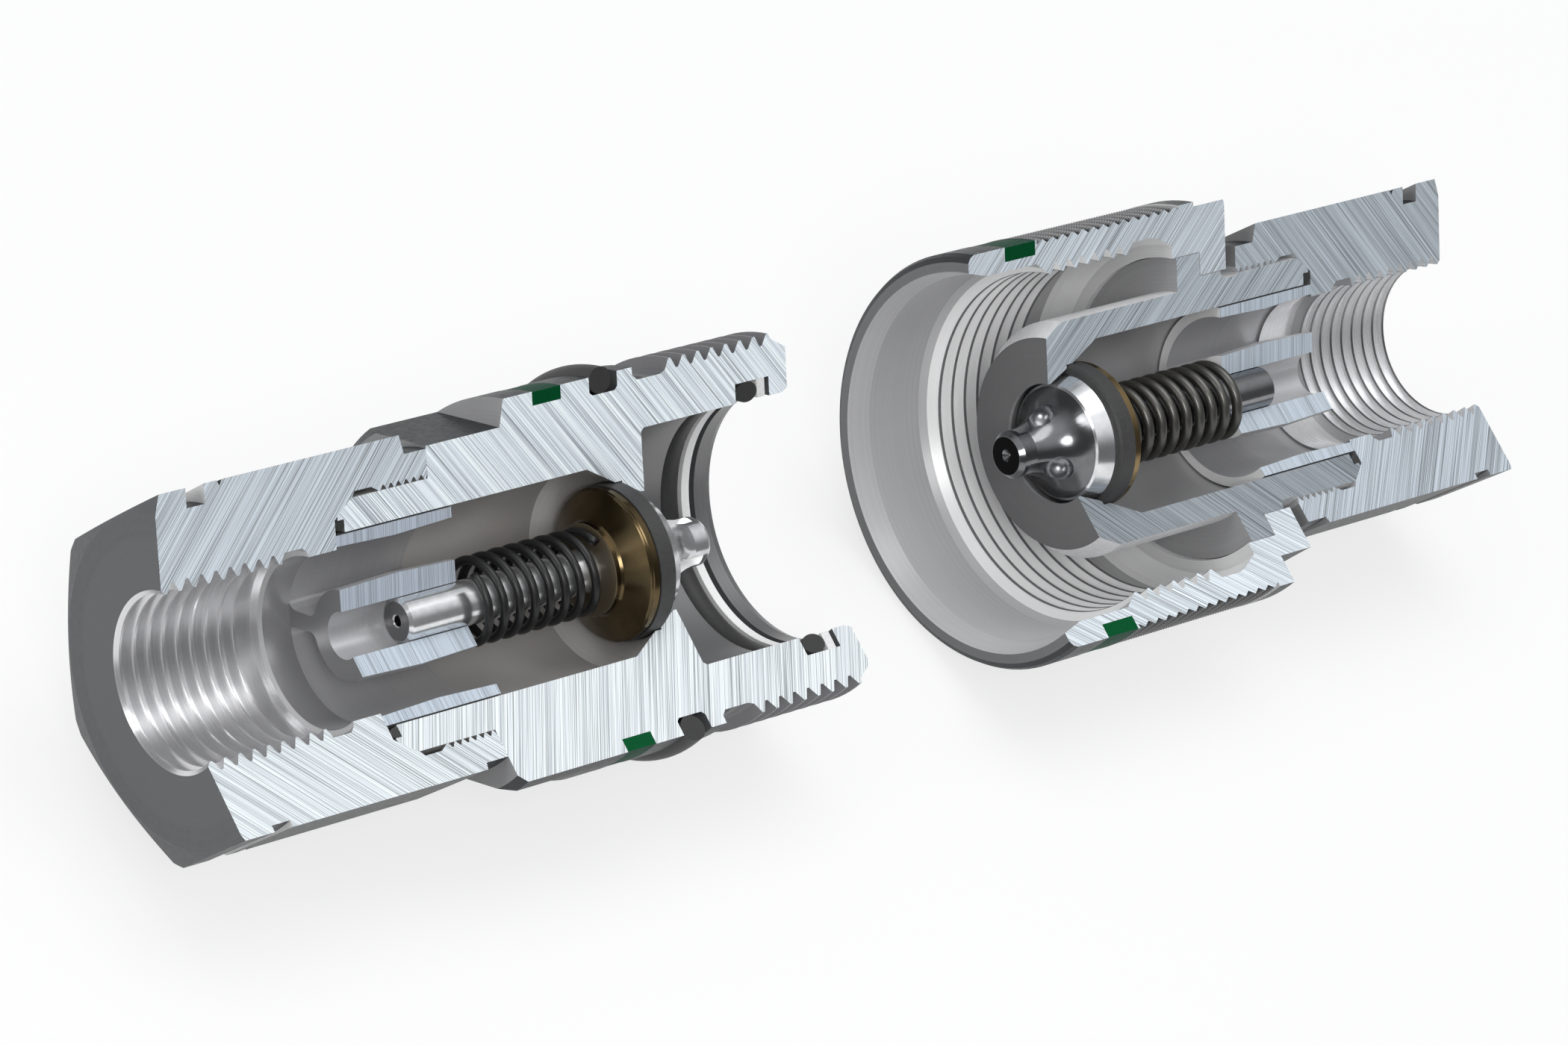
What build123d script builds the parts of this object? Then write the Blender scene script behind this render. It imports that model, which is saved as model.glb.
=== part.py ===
from build123d import *
from math import cos, radians, sin
import os

# section through the housings
cut_start = 55.0
cut_wedge = 142.0
kept_arc = 360.0 - cut_wedge

# guides
guide_length = 15.2
guide_r = 10.8
guide_rim = 1.45
web_width = 2.4
web_angle = -32.5
draft = 2.2

# body bores and the pocket for the ring at each adapter
guide_play = 0.2
ring_wire = 1.2
bore_r = guide_r + guide_play
ring_pocket_r = bore_r + ring_wire + 0.2
end_gap = 0.4

# adapter joint, M30 x 1
cone_length = 2.1
cone_rise = 1.8
cone_start_r = ring_pocket_r + 0.1
joint_r = cone_start_r + cone_rise + 0.16
joint_depth = 0.54
joint_major_r = joint_r + joint_depth
joint_pitch = 1.0
joint_turns = 6
joint_length = 12.4

# nose of the female half, socket of the male half
nose_wall = 2.95
nose_play = 0.1
nose_r = bore_r + nose_wall
mouth_r = nose_r + nose_play
seat_depth = 21.0
nose_length = seat_depth + nose_play

# spigot and sleeve thread, M42 x 2
spigot_wall = 6.95
thread_major_r = mouth_r + spigot_wall
thread_depth = 1.2
thread_root_r = thread_major_r - thread_depth
thread_pitch = 2.0
thread_play = 0.1
spigot_turns = 7
sleeve_turns = 6

# ports, G 1/2
port_minor_r = 9.32
port_depth = 1.13
port_major_r = port_minor_r + port_depth
port_pitch = 1.814
port_turns = 8
port_lead = 0.55

# adapters
adapter_length = 34.7
adapter_flats = 36.0
adapter_stock_r = 20.3
adapter_neck_step = 2.6
adapter_neck_r = adapter_stock_r - adapter_neck_step
adapter_bore_r = port_minor_r + 0.01
id_groove_start = 3.9
id_groove_width = 2.3
id_notch = 1.1
inner_face = adapter_length - joint_length

# outside of the male body, from its mouth
male_shoulder = -50.1
spanner_front = -40.2
male_marker_front = -31.7
male_marker_width = 3.9
marker_depth = 1.55
dust_ring_wire = 3.0
dust_groove_front = -23.9
dust_groove_depth = 2.05
relief_rear = -21.8
relief_depth = 1.5
mouth_lead = 2.5

# seal groove in the mouth
mouth_groove_front = -2.6
mouth_groove_depth = 2.2
mouth_ring_width = 3.0
backup_width = 1.1
mouth_groove_rear = mouth_groove_front - mouth_ring_width - backup_width - 0.75

# valves, the same in both halves
lip_r = 7.05
seat_step = 3.0
tip_reach = 6.95
tip_r = 2.75
collar_start = tip_reach + 1.1
seal_start = tip_reach + seat_step + 0.05
seal_width = 2.2
seal_r = 8.7
seal_core_r = 5.5
seal_pocket_r = seal_r + 0.1
seat_step_r = seal_pocket_r - 0.45
retainer_length = 3.4
rim_width = 0.85
retainer_end = seal_start + seal_width + retainer_length
retainer_r = seal_r - 0.15
flute_floor = 1.95
flute_width = 0.9
flute_spread = 0.5
flute_ball_r = 1.7
flute_angle = 60.0
stem_r = 2.5
stem_end = 41.4
guide_bore_r = stem_r + 0.08

# springs
spring_r = 4.9
male_wire = 1.0
female_wire = 1.25
male_coils = 8
female_coils = 8.75
boss_r = spring_r + 0.3
guide_hub_r = spring_r + 0.35
guide_opening_r = guide_r - guide_rim

# female half, along the axis
collar_front = 60.3
collar_length = 3.7
collar_step = 2.8
journal_step = 0.74
journal_length = 3.4
stop_gap = 0.1
flange_length = 4.2
adapter_gap = 1.6
collar_rear = collar_front + collar_length
journal_r = joint_r + journal_step
journal_rear = collar_rear + journal_length
collar_r = journal_r + collar_step
nose_front = collar_front - nose_length

# sleeve
sleeve_length = 40.6
sleeve_wall = 2.8
sleeve_play = 0.4
chamber_play = 0.2
flange_play = 0.1
knurl_depth = 0.65
sleeve_marker_depth = 1.7
sleeve_marker_start = 5.6
sleeve_marker_width = 4.7
knurl_start = 10.6
knurl_length = 22.6
sleeve_thread_start = 12.5
sleeve_flats = 41.0
flats_length = 5.0
sleeve_bore_r = thread_major_r + sleeve_play
sleeve_r = sleeve_bore_r + sleeve_wall
chamber_r = thread_major_r + chamber_play
flange_bore_r = journal_r + flange_play
counterbore_r = collar_r + flange_play
sleeve_rear = collar_rear + stop_gap + flange_length
sleeve_front = sleeve_rear - sleeve_length

marker_lift = 0.05
male_port = male_shoulder - adapter_length
female_port = sleeve_rear + adapter_gap + adapter_length
middle = (male_port + female_port) / 2
axis_height = sleeve_r
axis_side = -sleeve_r * (1 - cos(radians(180 - cut_start - cut_wedge))) / 2
axis_point = (-middle, axis_side, axis_height)
axis = Axis(axis_point, (-1, 0, 0))
face = Plane(axis_point, x_dir=(1, 0, 0), z_dir=(0, -sin(radians(cut_start)), cos(radians(cut_start))))


def across(x):
    return Plane((x - middle, axis_side, axis_height), x_dir=(0, 1, 0), z_dir=(1, 0, 0))


def turn(points, arc=kept_arc):
    with BuildSketch(face) as outline:
        with BuildLine():
            Polyline(*points, close=True)
        make_face()
    revolve(outline.sketch, axis=axis, revolution_arc=arc)


def teeth(first, count, pitch, crest, root):
    land = 0.08 * pitch
    points = []
    for i in range(count):
        x = first + i * pitch
        points += [(x - land, crest), (x + land, crest)]
        points += [(x + pitch / 2 - land, root), (x + pitch / 2 + land, root)]
    x = first + count * pitch
    return points + [(x - land, crest), (x + land, crest)]


def placed(points, start, way):
    return [(start + way * u, r) for u, r in points]


def adapter_outline():
    lead = [(0, port_minor_r + 0.8 * port_lead)]
    groove_end = id_groove_start + id_groove_width
    outside = [
        (0, adapter_neck_r), (0.72, adapter_stock_r),
        (id_groove_start, adapter_stock_r), (id_groove_start, adapter_neck_r),
        (groove_end, adapter_neck_r), (groove_end, adapter_stock_r),
        (groove_end + 1.4, adapter_stock_r), (groove_end + 1.4 + id_notch / 2, adapter_stock_r - id_notch),
        (groove_end + 1.4 + id_notch, adapter_stock_r),
        (adapter_length - 3.55, adapter_stock_r), (adapter_length - 2.9, adapter_neck_r),
        (adapter_length, adapter_neck_r), (adapter_length, joint_major_r + 0.2),
    ]
    joint_end = adapter_length - 0.35
    joint = teeth(joint_end - joint_turns * joint_pitch, joint_turns, joint_pitch, joint_r, joint_major_r)
    relief = placed([(5.0, joint_major_r + 0.1), (2.8, joint_major_r + 0.1), (2.4, joint_r)], inner_face, 1)
    port_end = port_lead + port_turns * port_pitch + 0.55
    seat = [
        (inner_face + cone_length, cone_start_r + cone_rise), (inner_face, cone_start_r),
        (inner_face, adapter_bore_r), (port_end + 3.1, adapter_bore_r),
        (port_end + 2.9, adapter_bore_r + port_depth / 2), (port_end + 2.3, port_major_r), (port_end, port_major_r),
    ]
    port = teeth(port_lead, port_turns, port_pitch, port_minor_r, port_major_r)
    return lead + outside + joint[::-1] + relief + seat + port[::-1]


def adapter(start, way):
    with BuildPart() as piece:
        turn(placed(adapter_outline(), start, way))
        with BuildSketch(across(start)):
            RegularPolygon(adapter_flats / 2, 6, major_radius=False)
        extrude(amount=way * adapter_length, mode=Mode.INTERSECT)
    return piece


def tail(end, way):
    cone = cone_start_r + end_gap * cone_rise / cone_length
    return placed(
        [
            (ring_wire - end_gap, bore_r), (ring_wire - end_gap, ring_pocket_r), (0, ring_pocket_r), (0, cone),
            (cone_length - end_gap, cone_start_r + cone_rise), (cone_length, joint_r),
        ],
        end, way,
    )


def seat(start, way):
    return placed(
        [
            (0, lip_r), (0.4, lip_r), (seat_step, seat_step_r), (seat_step, seal_pocket_r),
            (seat_step + 0.95, seal_pocket_r), (seat_step + 4.75, bore_r),
        ],
        start, way,
    )


def ring(x, r, width, height):
    with BuildPart() as piece:
        with BuildSketch(face):
            with Locations((x, r)):
                Ellipse(width / 2, height / 2)
        revolve(axis=axis, revolution_arc=kept_arc)
    return piece


def band(x0, x1, r0, r1):
    with BuildPart() as piece:
        turn([(x0, r0), (x0, r1), (x1, r1), (x1, r0)])
    return piece


def guide(start, way):
    half = guide_length / 2
    with BuildPart() as piece:
        with BuildSketch(across(start)):
            Circle(guide_r)
            Circle(guide_bore_r, mode=Mode.SUBTRACT)
        extrude(amount=way * guide_length)
        for side in (1, -1):
            with BuildSketch(across(start + way * half)) as opening:
                Circle(guide_opening_r)
                Circle(guide_hub_r, mode=Mode.SUBTRACT)
                Rectangle(2 * guide_r, web_width, rotation=web_angle, mode=Mode.SUBTRACT)
                fillet(opening.vertices(), 0.9)
            extrude(amount=side * half, taper=-draft, mode=Mode.SUBTRACT)
        with BuildSketch(across(start)):
            turns = [radians(cut_start + cut_wedge * i / 4) for i in range(5)]
            Polygon((0, 0), *[(2 * guide_r * cos(a), 2 * guide_r * sin(a)) for a in turns], align=None)
        extrude(amount=way * guide_length, mode=Mode.SUBTRACT)
    return piece


def poppet(tip, way):
    with BuildPart() as piece:
        with BuildSketch(face):
            with BuildLine():
                flare = [(tip_reach - 4.55, tip_r), (tip_reach - 1.05, tip_r + 1.45), (collar_start, lip_r - 0.2)]
                flare = placed(flare, tip, way)
                ThreePointArc(*flare)
                Polyline(
                    flare[2],
                    *placed(
                        [
                            (seal_start - 0.1, seat_step_r - 0.65), (seal_start, seat_step_r - 0.65),
                            (seal_start, seal_core_r),
                            (seal_start + seal_width, seal_core_r), (seal_start + seal_width, stem_r),
                            (stem_end - 0.4, stem_r), (stem_end, stem_r - 0.4), (stem_end, 0.8),
                            (stem_end - 0.8, 0), (0.8, 0), (0, 0.8), (0, tip_r - 0.45), (0.6, tip_r),
                        ],
                        tip, way,
                    ),
                    flare[0],
                )
            make_face()
        revolve(axis=axis)
        with BuildSketch(across(tip + way * flute_start)):
            with PolarLocations(0, 3, start_angle=flute_angle):
                Polygon(*flute_outline, align=None)
        extrude(amount=way * (flute_end - flute_start), mode=Mode.SUBTRACT)
        with Locations(across(tip + way * flute_end)):
            with PolarLocations(flute_floor + flute_ball_r, 3, start_angle=flute_angle):
                Sphere(flute_ball_r, mode=Mode.SUBTRACT)
    return piece


def seal(tip, way):
    s = seal_start
    with BuildPart() as piece:
        turn(
            placed(
                [
                    (s, seal_core_r), (s, seal_r - 0.25), (s + 0.25, seal_r),
                    (s + seal_width, seal_r), (s + seal_width, seal_core_r),
                ],
                tip, way,
            ),
            360,
        )
    return piece


def retainer(tip, way):
    s = seal_start + seal_width
    with BuildPart() as piece:
        turn(
            placed(
                [
                    (s, stem_r), (s, retainer_r - 0.1), (s + 0.1, retainer_r), (s + rim_width, retainer_r),
                    (s + rim_width + 0.1, retainer_r - 0.15), (s + rim_width + 0.25, retainer_r - 0.15),
                    (s + rim_width + 0.35, retainer_r - 0.3), (retainer_end - 0.9, boss_r + 0.2),
                    (retainer_end - 0.6, boss_r), (retainer_end - 0.1, boss_r), (retainer_end, boss_r - 0.1),
                    (retainer_end, stem_r),
                ],
                tip, way,
            ),
            360,
        )
    return piece


def spring(x0, x1, wire, coils):
    span = x1 - x0 - wire
    with BuildPart() as piece:
        with BuildLine() as path:
            Helix(
                span / coils, span, spring_r - wire / 2,
                center=(x0 + wire / 2 - middle, axis_side, axis_height), direction=(1, 0, 0),
            )
        with BuildSketch(Plane(path.line @ 0, z_dir=path.line % 0)):
            RegularPolygon(wire / 2, 8)
        sweep()
    return piece


flute_start = 1.3
flute_end = tip_reach - 1.55
flute_reach = lip_r - flute_floor
flute_half = flute_width / 2
flute_outline = [
    (flute_floor, -flute_half), (flute_floor, flute_half),
    (lip_r, flute_half + flute_spread * flute_reach), (lip_r, -flute_half - flute_spread * flute_reach),
]
male_tip = tip_reach - seat_depth
female_tip = nose_front - tip_reach
male_inner = male_shoulder - joint_length
female_inner = female_port - inner_face
male_hub = male_inner + guide_length
female_hub = female_inner - guide_length
male_boss = male_tip - retainer_end
female_boss = female_tip + retainer_end

male_adapter = adapter(male_port, 1)
female_adapter = adapter(female_port, -1)

major, root = thread_major_r, thread_root_r
marker_rear = male_marker_front - male_marker_width
dust_rear = dust_groove_front - dust_ring_wire - 0.9
dust_floor = major - dust_groove_depth
thread_rear = -mouth_lead - spigot_turns * thread_pitch
spigot_thread = teeth(thread_rear, spigot_turns, thread_pitch, major, root)
mouth_groove_r = mouth_r + mouth_groove_depth
with BuildPart() as male_body:
    turn(
        tail(male_inner + end_gap, 1)
        + [
            (male_shoulder, joint_r), (male_shoulder, major - 1.0), (male_shoulder + 0.9, major),
            (marker_rear, major), (marker_rear, major - marker_depth),
            (male_marker_front, major - marker_depth), (male_marker_front, major),
            (dust_rear, major), (dust_rear, dust_floor + 0.35), (dust_rear + 0.4, dust_floor),
            (dust_groove_front - 0.4, dust_floor), (dust_groove_front, dust_floor + 0.45),
            (dust_groove_front, major), (relief_rear, major), (relief_rear, major - relief_depth + 0.6),
            (relief_rear + 0.6, major - relief_depth), (thread_rear - 1.4, major - relief_depth),
            (thread_rear - 0.7, root),
        ]
        + spigot_thread
        + [
            (-2.1, major - 0.6), (0, major - 1.9), (0, mouth_r + 0.4), (-0.9, mouth_r),
            (mouth_groove_front, mouth_r), (mouth_groove_front, mouth_groove_r),
            (mouth_groove_rear, mouth_groove_r), (mouth_groove_rear, mouth_r),
            (0.4 - seat_depth, mouth_r), (-seat_depth, mouth_r - 0.4),
        ]
        + seat(-seat_depth, -1)
    )
    with BuildSketch(face):
        for side in (1, -1):
            with BuildLine():
                Polyline(
                    (male_shoulder - 1, side * adapter_flats / 2), (spanner_front, side * adapter_flats / 2),
                    (spanner_front + 0.9, side * (major + 1)), (male_shoulder - 1, side * (major + 1)),
                    close=True,
                )
            make_face()
    extrude(amount=major, both=True, mode=Mode.SUBTRACT)

with BuildPart() as female_body:
    turn(
        tail(female_inner - end_gap, -1)
        + [
            (journal_rear + 2.9, joint_r), (journal_rear + 2.6, joint_r - 0.26),
            (journal_rear + 0.6, joint_r - 0.26), (journal_rear, joint_r + 0.34), (journal_rear, journal_r),
            (collar_rear, journal_r), (collar_rear, collar_r), (collar_front, collar_r), (collar_front, nose_r),
            (nose_front + 2.5, nose_r), (nose_front, nose_r - 1.5),
        ]
        + seat(nose_front, 1)
    )

front, rear = sleeve_front, sleeve_rear
marker_floor = sleeve_r - sleeve_marker_depth
marker_start, marker_end = front + sleeve_marker_start, front + sleeve_marker_start + sleeve_marker_width
knurl_front, knurl_rear = front + knurl_start, front + knurl_start + knurl_length
knurl_root_r = sleeve_r - knurl_depth
thread_front = front + sleeve_thread_start
chamber_front = thread_front + sleeve_turns * thread_pitch + 1.2
counterbore_front = collar_front - 0.7
sleeve_thread = teeth(thread_front, sleeve_turns, thread_pitch, root + thread_play, major + thread_play)
with BuildPart() as coupling_sleeve:
    turn(
        [
            (front, sleeve_bore_r + 0.8), (front, sleeve_r - 0.9), (front + 0.3, sleeve_r - 0.3),
            (front + 0.9, sleeve_r), (marker_start, sleeve_r), (marker_start, marker_floor),
            (marker_end, marker_floor), (marker_end, sleeve_r),
            (knurl_front, sleeve_r), (knurl_front, knurl_root_r), (knurl_rear, knurl_root_r), (knurl_rear, sleeve_r),
            (rear - 0.9, sleeve_r), (rear - 0.3, sleeve_r - 0.3), (rear, sleeve_r - 0.9),
            (rear, flange_bore_r), (collar_rear + stop_gap, flange_bore_r), (collar_rear + stop_gap, counterbore_r),
            (counterbore_front, counterbore_r), (counterbore_front, chamber_r - 1.6),
            (counterbore_front - 2.3, chamber_r - 0.3), (counterbore_front - 3.4, chamber_r),
            (chamber_front, chamber_r),
        ]
        + sleeve_thread[::-1]
        + [(thread_front - 2.1, sleeve_bore_r), (front + 2.7, sleeve_bore_r)]
    )
    with BuildSketch(across(rear)):
        Circle(sleeve_r + 1)
        RegularPolygon(sleeve_flats / 2, 6, major_radius=False, rotation=cut_start, mode=Mode.SUBTRACT)
    extrude(amount=-flats_length, mode=Mode.SUBTRACT)

ring_height = mouth_groove_depth + nose_play
mouth_ring_x = mouth_groove_rear + 0.05 + mouth_ring_width / 2
backup_rear = mouth_ring_x + mouth_ring_width / 2 + 0.05
male_marker_ring = band(marker_rear, male_marker_front, major - marker_depth, major - marker_lift)
sleeve_marker_ring = band(marker_start, marker_end, marker_floor, sleeve_r - marker_lift)
male_backup_ring = band(backup_rear, backup_rear + backup_width, mouth_r + nose_play, mouth_groove_r)
male_mouth_oring = ring(mouth_ring_x, mouth_groove_r - ring_height / 2, mouth_ring_width, ring_height)
male_dust_oring = ring(
    dust_rear + dust_ring_wire / 2, dust_floor + dust_ring_wire / 2, dust_ring_wire, dust_ring_wire
)
male_adapter_oring = ring(male_inner + ring_wire / 2, ring_pocket_r - ring_wire / 2, ring_wire, ring_wire)
female_adapter_oring = ring(female_inner - ring_wire / 2, ring_pocket_r - ring_wire / 2, ring_wire, ring_wire)
male_guide = guide(male_inner, 1)
female_guide = guide(female_inner, -1)
male_poppet = poppet(male_tip, -1)
female_poppet = poppet(female_tip, 1)
male_valve_seal = seal(male_tip, -1)
female_valve_seal = seal(female_tip, 1)
male_seal_retainer = retainer(male_tip, -1)
female_seal_retainer = retainer(female_tip, 1)
male_spring = spring(male_hub, male_boss, male_wire, male_coils)
female_spring = spring(female_boss, female_hub, female_wire, female_coils)

pieces = {
    "male_adapter": male_adapter,
    "male_body": male_body,
    "male_guide": male_guide,
    "male_poppet": male_poppet,
    "male_valve_seal": male_valve_seal,
    "male_seal_retainer": male_seal_retainer,
    "male_spring": male_spring,
    "male_adapter_oring": male_adapter_oring,
    "male_mouth_oring": male_mouth_oring,
    "male_backup_ring": male_backup_ring,
    "male_dust_oring": male_dust_oring,
    "male_marker_ring": male_marker_ring,
    "coupling_sleeve": coupling_sleeve,
    "sleeve_marker_ring": sleeve_marker_ring,
    "female_body": female_body,
    "female_adapter": female_adapter,
    "female_guide": female_guide,
    "female_poppet": female_poppet,
    "female_valve_seal": female_valve_seal,
    "female_seal_retainer": female_seal_retainer,
    "female_spring": female_spring,
    "female_adapter_oring": female_adapter_oring,
}
os.makedirs("parts", exist_ok=True)
for name, piece in pieces.items():
    piece.part.label = name
    export_step(piece.part, f"parts/{name}.step")
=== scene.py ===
from math import atan2, cos, degrees, pi, radians, sin

import bmesh
import bpy
from mathutils import Matrix, Vector


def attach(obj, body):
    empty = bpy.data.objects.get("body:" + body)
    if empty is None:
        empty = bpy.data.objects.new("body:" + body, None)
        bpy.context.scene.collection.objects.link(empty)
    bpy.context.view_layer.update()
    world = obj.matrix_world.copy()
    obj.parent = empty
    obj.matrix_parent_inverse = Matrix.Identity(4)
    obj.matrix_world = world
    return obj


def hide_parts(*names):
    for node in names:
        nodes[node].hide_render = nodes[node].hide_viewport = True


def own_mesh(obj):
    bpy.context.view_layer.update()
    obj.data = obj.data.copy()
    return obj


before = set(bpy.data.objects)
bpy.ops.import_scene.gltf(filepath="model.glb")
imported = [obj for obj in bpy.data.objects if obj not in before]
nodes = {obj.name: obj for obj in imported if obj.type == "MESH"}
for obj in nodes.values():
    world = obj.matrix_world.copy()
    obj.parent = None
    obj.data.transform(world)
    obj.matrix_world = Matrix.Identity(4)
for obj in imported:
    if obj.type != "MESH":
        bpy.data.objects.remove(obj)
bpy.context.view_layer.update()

mm = 0.001
centre = Vector((0.0, -0.529 * mm, 24.2 * mm))  # a point on the centre line, which runs along x
middle = 9.9  # x, in mm from the mouth of the male half, of the point at the origin
upperCut, lowerCut = radians(55.0), radians(197.0)  # the two faces of the section


def linear(*rgb):  # screen tones from 0 to 255, as Blender's linear colour
    parts = (c / 255 for c in rgb)
    return tuple(c / 12.92 if c < 0.0404 else ((c + 0.055) / 1.055) ** 2.4 for c in parts) + (1.0,)


def lift(tone, by):
    return tuple(min(255, c * by) for c in tone)


class Wire:
    def __init__(self, shade, socket):
        self.shade, self.socket = shade, socket

    def math(self, kind, *others):
        return self.shade.node("ShaderNodeMath", {"operation": kind}, dict(enumerate((self, *others))))

    def __add__(self, other):
        return self.math("ADD", other)

    def __sub__(self, other):
        return self.math("SUBTRACT", other)

    def __mul__(self, other):
        return self.math("MULTIPLY", other)

    def __rsub__(self, other):
        return self.shade.node("ShaderNodeMath", {"operation": "SUBTRACT"}, {0: other, 1: self})

    __radd__, __rmul__ = __add__, __mul__

    def __abs__(self):
        return self.math("ABSOLUTE")

    def __lt__(self, other):
        return self.math("LESS_THAN", other)

    def __gt__(self, other):
        return self.math("GREATER_THAN", other)

    def ramp(self, low, high, a=0.0, b=1.0):
        return self.shade.node("ShaderNodeMapRange", {}, {0: self, 1: low, 2: high, 3: a, 4: b})


class Nodes:
    def __init__(self, tree):
        self.tree = tree

    def node(self, kind, settings=None, ins=None, out=0):
        made = self.tree.nodes.new(kind)
        for name, value in (settings or {}).items():
            setattr(made, name, value)
        for socket, value in (ins or {}).items():
            if isinstance(value, Wire):
                self.tree.links.new(value.socket, made.inputs[socket])
            else:
                made.inputs[socket].default_value = value
        return Wire(self, made.outputs[out])


class Shade(Nodes):
    def __init__(self, name, **constants):
        self.material = bpy.data.materials.new(name)
        self.material.use_nodes = True
        super().__init__(self.material.node_tree)
        self.surface = self.tree.nodes["Principled BSDF"]
        for socket, value in constants.items():
            self.surface.inputs[socket.replace("_", " ")].default_value = value
        place = self.node("ShaderNodeTexCoord", out="Object")
        x, y, z = (self.node("ShaderNodeSeparateXYZ", {}, {0: place}, out=i) for i in range(3))
        self.x = x * 1000.0 + middle  # mm from the mouth of the male half
        self.y = (y - centre.y) * 1000.0  # mm from the centre line, as z and r
        self.z = (z - centre.z) * 1000.0
        self.r = (self.y * self.y + self.z * self.z).math("SQRT")
        self.turn = self.z.math("ARCTAN2", self.y)
        self.xyz = self.vector(self.x, self.y, self.z)

    def finish(self, **wires):
        for socket, wire in wires.items():
            self.tree.links.new(wire.socket, self.surface.inputs[socket.replace("_", " ")])
        return self.material

    def vector(self, x, y, z):
        return self.node("ShaderNodeCombineXYZ", {}, {0: x, 1: y, 2: z})

    def noise(self, vector, scale=1.0, detail=2.0, rough=0.5):
        ins = {"Vector": vector, "Scale": scale, "Detail": detail, "Roughness": rough}
        return self.node("ShaderNodeTexNoise", {}, ins)

    def mix(self, share, a, b):
        return self.node("ShaderNodeMix", {"data_type": "RGBA"}, {0: share, 6: a, 7: b}, out=2)

    def blend(self, share, a, b):
        return self.node("ShaderNodeMix", {"data_type": "FLOAT"}, {0: share, 2: a, 3: b})

    def mottle(self, share, tone, by):
        return self.mix(share, linear(*tone), linear(*lift(tone, by)))

    def banded(self, share, bands):
        colour = self.mottle(share, bands[0][1], 1.05)
        for start, tone in bands[1:]:
            colour = self.mix(self.x > start, colour, self.mottle(share, tone, 1.05))
        return colour

    def cutFace(self, angle):  # the height above the centre line, and a mask of the section's face
        along = self.y * cos(angle) + self.z * sin(angle)
        off = self.z * cos(angle) - self.y * sin(angle)
        return along, (abs(off) < 0.02) * (along > 0.0)

    def endWall(self):  # a mask of the walls that stand square to the centre line
        normal = self.node("ShaderNodeTexCoord", out="Normal")
        return abs(self.node("ShaderNodeSeparateXYZ", {}, {0: normal})).ramp(0.92, 0.95)


# The marks' scales across and along the saw's way, and how far they are from the tone of the face.
sawMarks = {
    "fine": 13.0, "fineAlong": 0.03, "broad": 0.9, "broadAlong": 0.02,
    "dark": 0.5, "bright": 0.22, "cloud": 1.06,
}


def sawn(s, along, tilt, tone, seed, contrast):  # tilt: degrees from the centre line
    slant = radians(tilt)
    across = along * cos(slant) - s.x * sin(slant)
    length = s.x * cos(slant) + along * sin(slant)
    fineMarks = s.vector(across * sawMarks["fine"], length * sawMarks["fineAlong"], seed)
    fine = s.noise(fineMarks, detail=2.0, rough=0.6)
    broadMarks = s.vector(across * sawMarks["broad"], length * sawMarks["broadAlong"], seed + 7.0)
    broad = s.noise(broadMarks, detail=1.0)
    dark = linear(*lift(tone, 1 - sawMarks["dark"] * contrast))
    bright = linear(*lift(tone, 1 + sawMarks["bright"] * contrast))
    streak = s.mix(fine.ramp(0.52, 0.6), s.mix(fine.ramp(0.39, 0.47), dark, linear(*tone)), bright)
    return s.mix(broad.ramp(0.4, 0.7, 0.0, 0.3), streak, linear(*lift(tone, sawMarks["cloud"])))


# A housing's finish. All sizes are in mm, starts and stops along x and radii from the centre line.
# skin, bore and walls hold pairs of a start and the tone from there on. The skin begins at skinFrom. The walls
# are those square to the centre line; their tones are painted light and shade, set by the way the walls face.
# The two cut tones are the upper and lower section faces, painted darker and lighter as shade and light. crest:
# the radius, start, stop and tone of a thread's crests, painted dark as shade. The knurl's valley: two radii
# that the skin darkens between as painted shade,
# and the dark tone. hexagon: its start and the radius of its flats, which count as skin too.
def housing(name, tilts, cutTonesPaintedLight, skin, skinFrom, bore, wallTonesPaintedLight, crest=None, valleyPaintedShade=None, hexagon=None,
            rough=0.4, boreRough=0.32, boreMetal=0.45, contrast=0.75):
    s = Shade(name, Specular_IOR_Level=0.4)
    grain = s.noise(s.xyz, scale=1.6, detail=4.0).ramp(0.3, 0.7)
    turned = s.noise(s.vector(s.x * 9.0, s.r * 9.0, 3.0)).ramp(0.3, 0.7)
    outside = s.r.ramp(skinFrom - 0.1, skinFrom + 0.1)
    if hexagon:
        start, flats = hexagon
        outside = outside.math("MAXIMUM", (s.x > start) * (s.r > flats))
    end = s.endWall()
    inner = s.banded(turned, bore)
    # the thread's crest lands are painted dark, as painted shade
    if crest:
        radius, start, stop, tone = crest
        crestPaintedShade = (s.r < radius) * (s.x > start) * (s.x < stop)
        inner = s.mix(crestPaintedShade, inner, linear(*tone))
    outer = s.banded(grain, skin)
    # the knurl's valleys are painted dark, as painted shade
    if valleyPaintedShade:
        low, high, tone = valleyPaintedShade
        outer = s.mix(s.r.ramp(low, high), linear(*tone), outer)
    colour = s.mix(outside, inner, outer)
    # walls square to the centre line get their own tones: painted light and shade, by the way they face
    colour = s.mix(end, colour, s.banded(turned, wallTonesPaintedLight))
    # each cut face takes its own tone, painted darker or lighter as shade and light
    cuts = [s.cutFace(upperCut), s.cutFace(lowerCut)]
    for (along, here), tilt, tone, seed in zip(cuts, tilts, cutTonesPaintedLight, (1.7, 9.3)):
        colour = s.mix(here, colour, sawn(s, along, tilt, tone, seed, contrast))
    cut = cuts[0][1] + cuts[1][1]
    plain = s.blend(outside, turned * 0.06 + boreRough, grain * 0.12 + rough)
    metal = s.blend(outside, boreMetal, 0.35) * (1 - end * 0.8)
    bump = {"Strength": 0.03, "Distance": 0.0001, "Height": s.blend(cut, turned, 0.0)}
    return s.finish(Base_Color=colour, Roughness=s.blend(cut, plain, 0.8), Metallic=metal * (1 - cut),
                    Normal=s.node("ShaderNodeBump", {}, bump))


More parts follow.
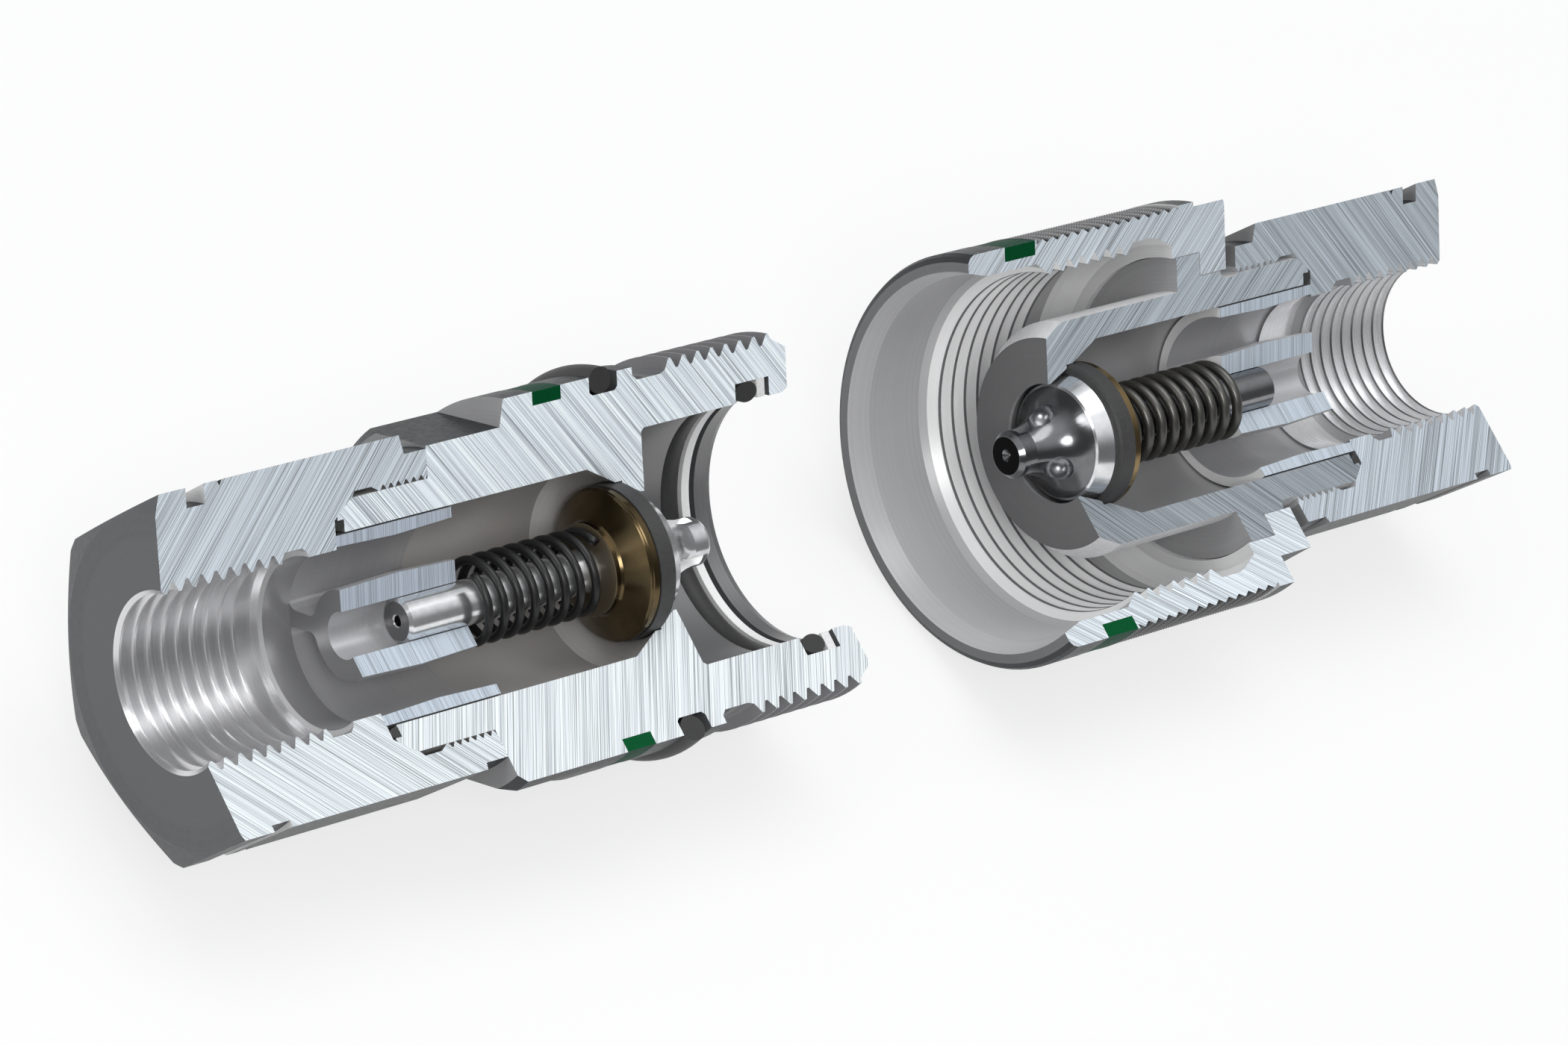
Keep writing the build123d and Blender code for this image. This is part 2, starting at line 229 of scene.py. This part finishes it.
# Of both valves, in mm: the depths from the tip at which the bell, the cone and the stem end, the radius of
# the tip and of the stem's end, and the hole in the stem's end.
valve = {"bell": 7.9, "cone": 10.0, "stem": 41.4, "face": 2.25, "hole": 0.6, "drilled": 0.9}
flute = {
    "count": 3, "first": 60.0,  # degrees from the y axis
    "start": 1.25, "end": 5.4, "floor": 1.95, "width": 0.9, "spread": 0.5, "ball": 1.7,
    "skin": 0.05,  # how far the mask goes past the pocket's own faces
}


def pockets(s, tip, way):
    depth = (s.x - tip) * way
    share = pi / flute["count"]
    turn = (s.turn - radians(flute["first"])).math("WRAP", share, -share)
    along, off = s.r * turn.math("COSINE"), abs(s.r * turn.math("SINE"))
    out, back = along - flute["floor"] - flute["ball"], depth - flute["end"]
    ball = (out * out + back * back + off * off) < (flute["ball"] + flute["skin"]) ** 2
    wall = off < ((along - flute["floor"]) * flute["spread"] + flute["width"] / 2 + flute["skin"])
    groove = wall * (along > flute["floor"] - flute["skin"]) * (depth > flute["start"]) * (back < 0.0)
    return groove.math("MAXIMUM", ball)


def poppet(name, tip, way, bell, cone, stem, metal=1.0, rough=0.15, tipFace=None, stemFace=None):
    s = Shade(name, Metallic=1.0)
    haze = s.noise(s.xyz, scale=0.9, detail=3.0).ramp(0.3, 0.7)
    depth = (s.x - tip) * way
    # the bell, cone and stem tones are painted reflection: a bright cone band and a light or dark body
    colour = s.mottle(haze, bell, 0.93)
    for start, tone in ((valve["bell"], cone), (valve["cone"], stem)):
        colour = s.mix(depth > start, colour, s.mottle(haze, tone, 0.93))
    pit = pockets(s, tip, way)
    # the pockets are painted lighter than the bell, as a painted highlight
    colour = s.mix(pit, colour, linear(*lift(bell, 1.15)))
    at, tone = (0.0, tipFace) if tipFace else (valve["stem"], stemFace)
    face = (abs(depth - at) < 0.06) * (s.r < valve["face"])
    colour = s.mix(face, colour, linear(*tone))
    if stemFace:
        # the drilled hole in the stem's end is painted near-black, as painted shade
        hole = (depth > valve["stem"] - valve["drilled"]) * (s.r < valve["hole"])
        colour = s.mix(hole, colour, linear(12, 12, 12))
    metal = s.blend(face, metal, 1.0 if tipFace else 0.3)
    return s.finish(Base_Color=colour, Roughness=s.blend(pit, haze * 0.05 + rough, 0.28), Metallic=metal)


def gilt(name, tone, hub, rough=0.15, seat=5.15):  # seat: the radius of the face that the spring stands on
    s = Shade(name)
    haze = s.noise(s.xyz, scale=0.9, detail=3.0).ramp(0.3, 0.7)
    flat = s.r < seat
    colour = s.mix(flat, s.mottle(haze, tone, 0.93), linear(*hub))
    polish = s.blend(flat, haze * 0.05 + rough, 0.5)
    return s.finish(Base_Color=colour, Roughness=polish, Metallic=1.0 - flat * 0.7)


def springWire(name, tone, rough, metal):
    s = Shade(name, Metallic=metal, Specular_IOR_Level=0.5)
    grain = s.noise(s.xyz, scale=2.4, detail=2.0).ramp(0.3, 0.7)
    return s.finish(Base_Color=s.mottle(grain, tone, 1.05), Roughness=grain * 0.03 + rough)


def matte(name, tone, rough, cut, shine=0.3):
    s = Shade(name, Specular_IOR_Level=shine)
    grain = s.noise(s.xyz, scale=2.4, detail=5.0)
    colour = s.mottle(grain.ramp(0.3, 0.7), tone, 1.12)
    for angle, face in zip((upperCut, lowerCut), cut):
        colour = s.mix(s.cutFace(angle)[1], colour, s.mottle(grain.ramp(0.3, 0.7), face, 1.08))
    return s.finish(Base_Color=colour, Roughness=grain.ramp(0.3, 0.7, rough - 0.05, rough + 0.08))


everywhere = -99  # a start left of the whole coupling
# the dark outer skin is partly a dark finish and partly a painted dark reflection, against the bright bores
darkFinishAndReflection, greySteel = [(everywhere, (48, 51, 53))], [(everywhere, (150, 150, 152))]
maleAdapter = {
    "tilts": (50, 50), "cutTonesPaintedLight": ((186, 194, 201), (210, 217, 222)), "skin": darkFinishAndReflection, "skinFrom": 15.3,
    "bore": [(everywhere, (212, 212, 213))],
    "wallTonesPaintedLight": [(everywhere, (80, 81, 83)), (-84, (205, 205, 205))],
    "boreMetal": 0.84, "boreRough": 0.2,
}
maleBody = {
    "tilts": (-52, -62), "cutTonesPaintedLight": ((212, 221, 229), (214, 221, 226)),
    "skin": [*darkFinishAndReflection, (-20, (112, 112, 114))], "skinFrom": 16.8,
    "bore": [(everywhere, (196, 194, 192)), (-21.2, (128, 128, 129))],
    "wallTonesPaintedLight": [(everywhere, (140, 140, 141)), (-25, (88, 89, 90))],
}
maleGuide = {
    "tilts": (88, 88), "cutTonesPaintedLight": ((162, 171, 182), (182, 192, 203)), "skin": greySteel, "skinFrom": 10.6,
    "bore": [(everywhere, (186, 186, 188))], "wallTonesPaintedLight": [(everywhere, (112, 112, 113))], "contrast": 0.45,
}
femaleBody = {
    "tilts": (42, 52), "cutTonesPaintedLight": ((164, 172, 179), (140, 147, 153)),
    "skin": [(everywhere, (232, 232, 233))], "skinFrom": 12.0,
    "bore": [(everywhere, (182, 182, 183))],
    "wallTonesPaintedLight": [(everywhere, (96, 96, 97)), (45, (155, 155, 156))],
}
femaleAdapter = {
    "tilts": (-50, -50), "cutTonesPaintedLight": ((164, 172, 179), (176, 184, 192)), "skin": darkFinishAndReflection, "skinFrom": 15.3,
    "bore": [(everywhere, (236, 236, 237))],
    "wallTonesPaintedLight": [(everywhere, (132, 132, 133)), (103, (120, 120, 121))],
    "boreMetal": 0.75, "boreRough": 0.26, "crest": (9.36, 89.0, 104.2, (120, 120, 121)),
}
femaleGuide = {
    "tilts": (88, 88), "cutTonesPaintedLight": ((172, 182, 192), (182, 192, 202)), "skin": greySteel, "skinFrom": 10.6,
    # the guide's walls are painted near-white, as a painted reflection on its front rim
    "bore": [(everywhere, (196, 196, 198))], "wallTonesPaintedLight": [(everywhere, (250, 250, 250))], "contrast": 0.45,
}
couplingSleeve = {
    "tilts": (45, 42), "cutTonesPaintedLight": ((184, 192, 199), (206, 214, 221)), "skin": darkFinishAndReflection, "skinFrom": 22.3,
    # the bore's near-white bands are painted light, and the grey bands between them painted shade
    "bore": [
        (everywhere, (186, 186, 187)), (38.9, (246, 246, 246)), (53.4, (190, 190, 190)),
        (56.2, (246, 246, 246)),
    ],
    "wallTonesPaintedLight": [(everywhere, (104, 105, 106)), (45, (215, 215, 215)), (67, (104, 105, 106))],
    "boreMetal": 0.1, "crest": (19.96, 39.5, 53.2, (122, 122, 123)),
    "hexagon": (60.9, 20.3),
}
# both valves are one chrome: the male one's light tones and the female one's dark bell and stem are painted
# reflection and shade, and the bright cone band is a painted highlight
maleValve = {
    "bell": (226, 227, 229), "cone": (235, 236, 238), "stem": (240, 241, 242), "metal": 0.9,
    "stemFace": (92, 92, 93),
}
femaleValve = {
    "bell": (124, 125, 127), "cone": (235, 236, 238), "stem": (150, 150, 152), "tipFace": (8, 8, 8),
}
# each cut pair holds the upper and lower section faces, painted darker and lighter as shade and light
backUp = {"tone": (250, 250, 249), "rough": 0.5, "cut": ((206, 206, 206), (214, 214, 214))}
green = {"tone": (0, 60, 42), "rough": 0.5, "cut": ((0, 62, 32), (4, 76, 40)), "shine": 0.05}
rubber = {"tone": (58, 58, 58), "rough": 0.45, "cut": ((48, 48, 48), (52, 52, 52))}
paint = {
    "male_adapter": housing("male adapter steel", **maleAdapter),
    "male_body": housing("male body steel", **maleBody),
    "male_guide": housing("male guide steel", **maleGuide),
    "female_body": housing("female body steel", **femaleBody),
    "female_adapter": housing("female adapter steel", **femaleAdapter),
    "female_guide": housing("female guide steel", **femaleGuide),
    "coupling_sleeve": housing("sleeve steel", **couplingSleeve),
    "male_poppet": poppet("male valve chrome", -14.05, -1, **maleValve),
    "female_poppet": poppet("female valve chrome", 32.25, 1, **femaleValve),
    # both retainers are one brass; the female one's lighter tone is a painted highlight
    "male_seal_retainer": gilt("male retainer gilt", (98, 84, 60), (86, 76, 60)),
    "female_seal_retainer": gilt("female retainer gilt", (142, 122, 88), (96, 84, 64)),
    "male_backup_ring": matte("white back-up ring", **backUp),
    "male_marker_ring": matte("male marker green", **green),
    "sleeve_marker_ring": matte("sleeve marker green", **green),
}
for name in ("male_valve_seal", "female_valve_seal", "male_adapter_oring", "female_adapter_oring",
             "male_mouth_oring", "male_dust_oring"):
    paint[name] = matte(name.replace("_", " ") + " rubber", **rubber)
for name, material in paint.items():
    nodes[name].material_slots[0].material = material
print("painted", len(paint), "nodes")

knurl = {
    "start": 38.3, "length": 22.6, "pitch": 1.6, "ribs": 360,  # ribs in a full turn
    "root": 23.62, "crest": 24.19, "between": 23.98, "base": 23.5,  # radii
}


def pick(mesh, choose):
    for vertex in mesh.verts:
        vertex.select_set(choose(vertex))
    mesh.select_flush_mode()


def turnOf(vertex):
    return atan2(vertex.co.z - centre.z, vertex.co.y - centre.y) % (2 * pi)


def radiusOf(vertex):
    return Vector((vertex.co.y - centre.y, vertex.co.z - centre.z)).length


def squeeze(factor):
    bpy.ops.transform.resize(value=(1.0, factor, factor), center_override=centre)


def knurlBand():
    bpy.ops.object.select_all(action="DESELECT")
    start = centre + Vector(((knurl["start"] - middle) * mm, 0.0, 0.0))
    bpy.ops.mesh.primitive_circle_add(vertices=2 * knurl["ribs"], radius=knurl["root"] * mm, location=start,
                                      rotation=(0.0, pi / 2, 0.0))
    band = bpy.context.object
    band.name = band.data.name = "sleeve_knurl"
    bpy.ops.object.transform_apply(location=True, rotation=True, scale=True)
    bpy.ops.object.mode_set(mode="EDIT")
    bpy.ops.mesh.select_mode(type="VERT")
    mesh = bmesh.from_edit_mesh(band.data)
    edge = radians(0.1)
    pick(mesh, lambda v: upperCut + edge < turnOf(v) < lowerCut - edge)
    bpy.ops.mesh.delete(type="VERT")
    bpy.ops.mesh.select_all(action="SELECT")
    rows = round(knurl["length"] / (knurl["pitch"] / 2))
    step = knurl["length"] / rows * mm
    for row in range(rows):  # half a ring at a time, along the sleeve
        bpy.ops.mesh.extrude_region_move(TRANSFORM_OT_translate={"value": (step, 0.0, 0.0)})
    mesh = bmesh.from_edit_mesh(band.data)

    def rowOf(vertex):
        return round((vertex.co.x - start.x) / step)

    def ribOf(vertex):
        return round(degrees(turnOf(vertex)) * knurl["ribs"] / 180)

    even = round(degrees(upperCut) * knurl["ribs"] / 180) % 2
    pick(mesh, lambda v: rowOf(v) % 2 == 1 and ribOf(v) % 2 == even)
    squeeze(knurl["crest"] / knurl["root"])
    pick(mesh, lambda v: rowOf(v) % 2 == 1 and ribOf(v) % 2 != even)
    squeeze(knurl["between"] / knurl["root"])
    bpy.ops.mesh.select_all(action="SELECT")
    bpy.ops.mesh.extrude_region_move(TRANSFORM_OT_translate={"value": (0.0, 0.0, 0.0)})
    away, near = 0.9, 0.05 * mm  # the back of the band is drawn away, found again and made plain
    squeeze(away)
    mesh = bmesh.from_edit_mesh(band.data)
    for name in ("root", "crest", "between"):
        pick(mesh, lambda v: abs(radiusOf(v) - away * knurl[name] * mm) < near)
        squeeze(knurl["base"] / (away * knurl[name]))
    bpy.ops.mesh.select_all(action="SELECT")
    bpy.ops.mesh.normals_make_consistent(inside=False)
    bpy.ops.object.mode_set(mode="OBJECT")
    return band


band = knurlBand()
knurlSteel = {
    **couplingSleeve, "skin": [(everywhere, (128, 128, 129))], "wallTonesPaintedLight": [(everywhere, (84, 84, 85))],
    "rough": 0.3, "valleyPaintedShade": (23.74, 24.17, (22, 23, 24)),
}
band.data.materials.append(housing("knurl steel", **knurlSteel))
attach(band, "sleeve")
print("knurl", len(band.data.polygons), "faces")

# From first to last along x, with fixed as the end that stays where it is, all in mm.
maleCoil = {
    "first": -47.3, "last": -29.68, "fixed": -47.3, "wire": 1.0, "outer": 4.9, "coils": 8, "stroke": 7.0,
    "sides": 16, "steps": 48, "paint": ("black spring wire", (30, 30, 30), 0.34, 0.25),
}
femaleCoil = {
    "first": 47.88, "last": 67.1, "fixed": 67.1, "wire": 1.25, "outer": 4.9, "coils": 8.75, "stroke": 7.0,
    "sides": 16, "steps": 48, "paint": ("grey spring wire", (90, 89, 86), 0.32, 0.8),
}


def coilSpring(name, stands, sizes):
    bpy.ops.object.select_all(action="DESELECT")
    wire, length = sizes["wire"], sizes["last"] - sizes["first"]
    along, high = sizes["first"] + wire / 2 - middle, sizes["outer"] - wire / 2
    start = centre + Vector((along * mm, 0.0, high * mm))
    bpy.ops.mesh.primitive_circle_add(vertices=sizes["sides"], radius=wire / 2 * mm, location=start,
                                      rotation=(pi / 2, 0.0, 0.0))
    coil = bpy.context.object
    coil.name = coil.data.name = name
    bpy.context.scene.cursor.location = centre
    bpy.ops.object.origin_set(type="ORIGIN_CURSOR")
    bpy.ops.object.transform_apply(location=False, rotation=True, scale=True)
    bpy.ops.object.modifier_add(type="SCREW")
    screw = coil.modifiers[0]
    screw.axis, screw.angle, screw.screw_offset = "X", 2 * pi * sizes["coils"], (length - wire) * mm
    screw.steps = screw.render_steps = round(sizes["steps"] * sizes["coils"])
    bpy.ops.object.modifier_apply(modifier=screw.name)
    bpy.ops.object.transform_apply(location=True, rotation=True, scale=True)
    bpy.ops.object.mode_set(mode="EDIT")
    bpy.ops.mesh.select_all(action="SELECT")
    bpy.ops.mesh.fill_holes(sides=0)
    bpy.ops.mesh.select_all(action="SELECT")
    bpy.ops.mesh.normals_make_consistent(inside=False)
    bpy.ops.object.mode_set(mode="OBJECT")
    bpy.ops.object.shade_smooth()
    coil.data.materials.append(springWire(*sizes["paint"]))
    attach(coil, "housings")
    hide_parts(stands)
    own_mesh(coil)
    print(name, len(coil.data.polygons), "faces")


coilSpring("male_coil", "male_spring", maleCoil)
coilSpring("female_coil", "female_spring", femaleCoil)

studio = {
    "floor": (236, 236, 236), "size": 6.0, "below": 0.0002,
    "whiten": 0.75,  # how much of the floor's shading is hidden from the camera and from mirrors
    "low": 0.16, "high": 1.05, "fade": (0.42, 1.0),  # the sky's strength at the two heights of fade
    "sky": (0.97, 0.985, 1.0, 1.0),
}
bpy.ops.object.select_all(action="DESELECT")
bpy.ops.mesh.primitive_plane_add(size=studio["size"], location=(0.0, 0.0, -studio["below"]))
floor = bpy.context.object
floor.name = "studio_floor"
ground = Shade("studio floor", Roughness=0.9)
cloth = ground.mottle(ground.noise(ground.xyz, 0.01), studio["floor"], 1.02)
floor.data.materials.append(ground.finish(Base_Color=cloth))
kinds = ("Camera", "Glossy", "Transmission")
rays = [ground.node("ShaderNodeLightPath", out=f"Is {kind} Ray") for kind in kinds]
seen = rays[0].math("MAXIMUM", rays[1]).math("MAXIMUM", rays[2]) * studio["whiten"]
white = ground.node("ShaderNodeEmission", {}, {"Color": (1.0, 1.0, 1.0, 1.0), "Strength": 1.0})
plain = Wire(ground, ground.surface.outputs[0])
shown = ground.node("ShaderNodeMixShader", {}, {0: seen, 1: plain, 2: white})
ground.tree.links.new(shown.socket, ground.tree.nodes["Material Output"].inputs[0])

world = bpy.data.worlds.new("studio")
bpy.context.scene.world = world
world.use_nodes = True
sky = Nodes(world.node_tree)
height = sky.node("ShaderNodeSeparateXYZ", {}, {0: sky.node("ShaderNodeTexCoord", out="Generated")}, out=2)
heights = dict(enumerate((height, *studio["fade"], studio["low"], studio["high"])))
fade = sky.node("ShaderNodeMapRange", {"interpolation_type": "SMOOTHSTEP"}, heights)
backdrop = sky.tree.nodes["Background"]
backdrop.inputs["Color"].default_value = studio["sky"]
sky.tree.links.new(fade.socket, backdrop.inputs["Strength"])


def softbox(name, spot, size, power):
    target = Vector((0, 0, 0.02))
    data = bpy.data.lights.new(name, "AREA")
    data.shape, data.size, data.size_y, data.energy = "ELLIPSE", size[0], size[1], power
    lamp = bpy.data.objects.new(name, data)
    bpy.context.collection.objects.link(lamp)
    lamp.location = spot
    lamp.rotation_euler = (target - Vector(spot)).to_track_quat("-Z", "Y").to_euler()


softboxes = {
    "key": {"spot": (-0.75, -0.75, 0.95), "size": (0.5, 0.5), "power": 6.4},
    "top": {"spot": (0.2, 0.2, 1.3), "size": (1.2, 0.8), "power": 5.4},
    "side": {"spot": (-1.0, 0.1, 0.35), "size": (0.25, 0.6), "power": 2.0},
}
for name, sizes in softboxes.items():
    softbox(name, **sizes)
print("studio with", len(softboxes), "softboxes")

view = {
    "lens": 139.7, "sensor": 36.0, "near": 0.01, "far": 20.0, "place": (-0.4316, -0.3081, 0.4522),
    "right": (0.7545, -0.5638, 0.3358), "up": (0.2054, 0.6889, 0.6952), "back": (-0.6233, -0.4555, 0.6356),
}
eye = bpy.data.cameras.new("camera")
eye.lens, eye.sensor_width = view["lens"], view["sensor"]
eye.clip_start, eye.clip_end = view["near"], view["far"]
camera = bpy.data.objects.new("camera", eye)
bpy.context.collection.objects.link(camera)
turn = Matrix((view["right"], view["up"], view["back"])).transposed().to_4x4()
camera.matrix_world = Matrix.Translation(view["place"]) @ turn
bpy.context.scene.camera = camera
bpy.context.scene.view_settings.view_transform = "Standard"
